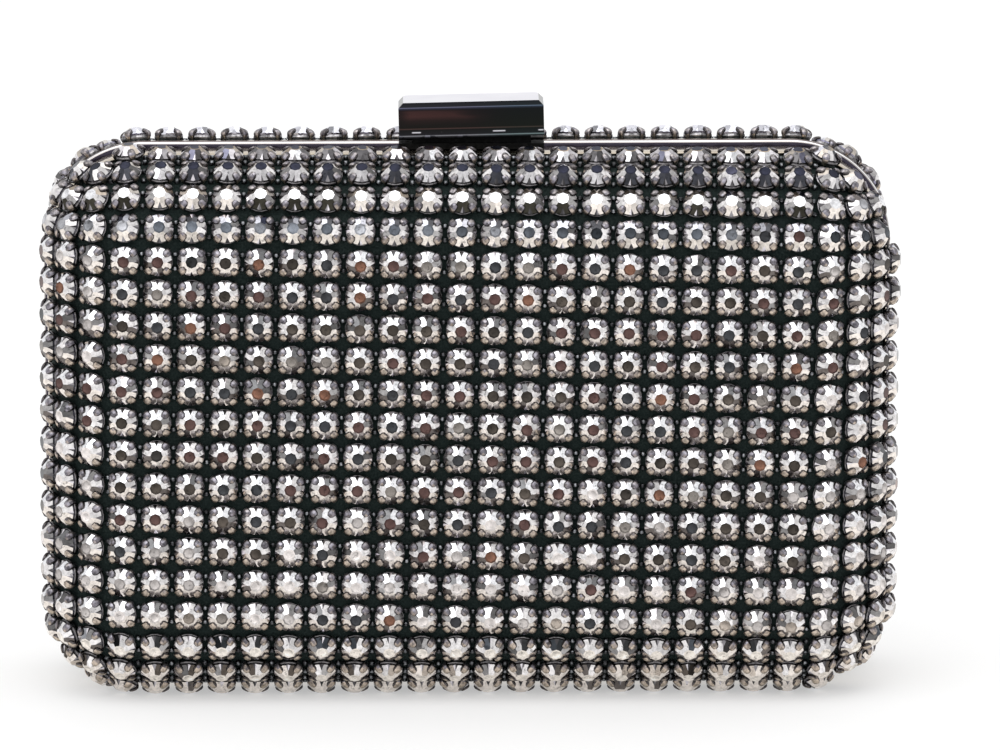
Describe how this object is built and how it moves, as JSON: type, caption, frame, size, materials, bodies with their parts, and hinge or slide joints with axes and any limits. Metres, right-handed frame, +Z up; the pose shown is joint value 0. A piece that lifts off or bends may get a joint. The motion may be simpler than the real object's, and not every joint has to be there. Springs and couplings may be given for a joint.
{
  "type": "clutch bag",
  "caption": "Hard box clutch covered in rows of set stones, with a polished metal frame, two barrel hinges along the foot and a press bar clasp on top.",
  "frame": {"origin": "on the surface the bag stands on, under the middle of its bounding box", "axes": "+Z up, -Y towards the viewer of the front, +X to the viewer's right"},
  "size_m": [0.182, 0.0638, 0.1254],
  "materials": {
    "backing": "cloth covered",
    "satin": "satin",
    "band_metal": "polished",
    "stones": "faceted",
    "hinge_metal": "satin",
    "gunmetal": "polished",
    "spring_steel": "plain"
  },
  "bodies": {
    "back_half": {"back_frame": "band_metal", "back_hinge_leaf_left": "hinge_metal", "back_hinge_leaf_right": "hinge_metal", "back_lining": "satin", "back_shell": "backing", "back_stone_row_01": "stones", "back_stone_row_02": "stones", "back_stone_row_03": "stones", "back_stone_row_04": "stones", "back_stone_row_05": "stones", "back_stone_row_06": "stones", "back_stone_row_07": "stones", "back_stone_row_08": "stones", "back_stone_row_09": "stones", "back_stone_row_10": "stones", "back_stone_row_11": "stones", "back_stone_row_12": "stones", "back_stone_row_13": "stones", "back_stone_row_14": "stones", "back_stone_row_15": "stones", "back_stone_row_16": "stones", "back_stone_row_17": "stones", "back_stone_row_18": "stones", "back_stone_row_19": "stones", "clasp_catch": "gunmetal", "hinge_pin_left": "hinge_metal", "hinge_pin_right": "hinge_metal"},
    "front_half": {"front_frame": "band_metal", "front_hinge_leaf_left": "hinge_metal", "front_hinge_leaf_right": "hinge_metal", "front_lining": "satin", "front_shell": "backing", "front_stone_row_01": "stones", "front_stone_row_02": "stones", "front_stone_row_03": "stones", "front_stone_row_04": "stones", "front_stone_row_05": "stones", "front_stone_row_06": "stones", "front_stone_row_07": "stones", "front_stone_row_08": "stones", "front_stone_row_09": "stones", "front_stone_row_10": "stones", "front_stone_row_11": "stones", "front_stone_row_12": "stones", "front_stone_row_13": "stones", "front_stone_row_14": "stones", "front_stone_row_15": "stones", "front_stone_row_16": "stones", "front_stone_row_17": "stones", "front_stone_row_18": "stones", "front_stone_row_19": "stones", "clasp_base": "gunmetal", "clasp_spring": "spring_steel"},
    "press_bar": {"clasp_bar": "gunmetal", "clasp_latch": "gunmetal"}
  },
  "joints": [
    {"name": "lid_hinge", "type": "hinge", "parent": "back_half", "child": "front_half", "pos_m": [0, 0, 0.00082], "axis": [1, 0, 0], "range_deg": [0, 95]},
    {"name": "clasp_press", "type": "slide", "parent": "front_half", "child": "press_bar", "axis": [0, 0, -1], "range_m": [0, 0.0008], "stiffness_N_per_m": 3000, "springref_m": -0.0005, "deforming": ["clasp_spring"]}
  ]
}
